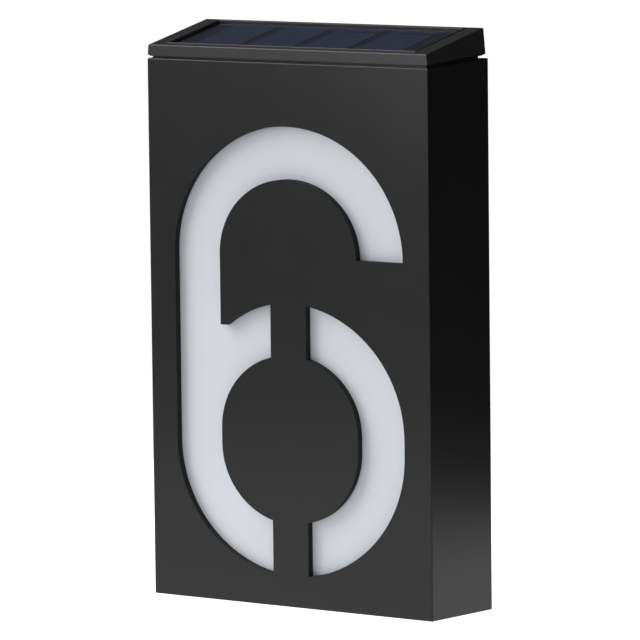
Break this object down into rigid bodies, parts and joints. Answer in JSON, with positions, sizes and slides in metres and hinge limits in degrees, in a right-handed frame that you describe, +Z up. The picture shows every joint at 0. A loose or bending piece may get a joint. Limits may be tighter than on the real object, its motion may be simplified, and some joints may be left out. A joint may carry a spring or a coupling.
{
  "type": "illuminated house number sign",
  "caption": "Wall-hung solar sign: a black drafted box with a stencil numeral six over a white light box, and a sloping solar cap.",
  "frame": {"origin": "centre of the two keyholes' round entries, on the rear plane that lies on the wall", "axes": "+X to the right of someone who faces the front, +Y into the wall, +Z up; the front faces -Y"},
  "size_m": [0.1096, 0.0337, 0.1867],
  "materials": {
    "housing_black": "satin moulded ABS, fine grain",
    "cap_black": "satin moulded ABS, fine grain",
    "cover_black": "moulded ABS, fine spark texture",
    "opal_white": "opal diffusing sheet, satin face",
    "tray_white": "white reflector plastic",
    "clear_cover": "clear laminate",
    "cell_blue": "crystalline silicon with fine fingers",
    "panel_black": "black solder mask board",
    "board_green": "green solder mask board",
    "board_white": "white solder mask board",
    "led_yellow": "phosphor in a white package",
    "seal_rubber": "black rubber",
    "foam_tape": "black foam tape",
    "zinc_screw": "bright zinc plate",
    "nickel_contact": "nickel plate",
    "cell_sleeve": "plain shrink sleeve",
    "chip_black": "moulded epoxy",
    "ferrite": "ferrite drum",
    "capacitor_sleeve": "plain sleeve",
    "connector_white": "natural nylon",
    "switch_steel": "pressed steel case",
    "knob_black": "moulded nylon",
    "lead_insulation": "red and black wire insulation"
  },
  "bodies": {
    "sign": {"front_housing": "housing_black", "numeral_diffuser": "opal_white", "reflector_tray": "tray_white", "led_board": "board_white", "led_packages": "led_yellow", "tray_screws": "zinc_screw", "solar_cap": "cap_black", "cap_gasket": "seal_rubber", "cap_screws": "zinc_screw", "wire_grommet": "seal_rubber", "solar_panel_board": "panel_black", "solar_cells": "cell_blue", "panel_cover": "clear_cover", "panel_adhesive": "foam_tape", "back_cover": "cover_black", "back_cover_seal": "seal_rubber", "back_cover_screws": "zinc_screw", "battery_cell": "cell_sleeve", "battery_spring_contact": "nickel_contact", "battery_plate_contact": "nickel_contact", "control_board": "board_green", "driver_chip": "chip_black", "power_inductor": "ferrite", "filter_capacitor": "capacitor_sleeve", "board_headers": "connector_white", "lead_plugs": "connector_white", "board_screws": "zinc_screw", "switch_case": "switch_steel", "panel_leads": "lead_insulation", "led_leads": "lead_insulation", "battery_leads": "lead_insulation"},
    "switch": {"switch_knob": "knob_black"},
    "door": {"battery_door": "cover_black", "battery_door_seal": "seal_rubber", "battery_door_screws": "zinc_screw"}
  },
  "joints": [
    {"name": "switch_slide", "type": "slide", "parent": "sign", "child": "switch", "axis": [1, 0, 0], "range_m": [0, 0.003]},
    {"name": "door_lift_off", "type": "slide", "parent": "sign", "child": "door", "axis": [0, 1, 0], "range_m": [0, 0.02]}
  ]
}
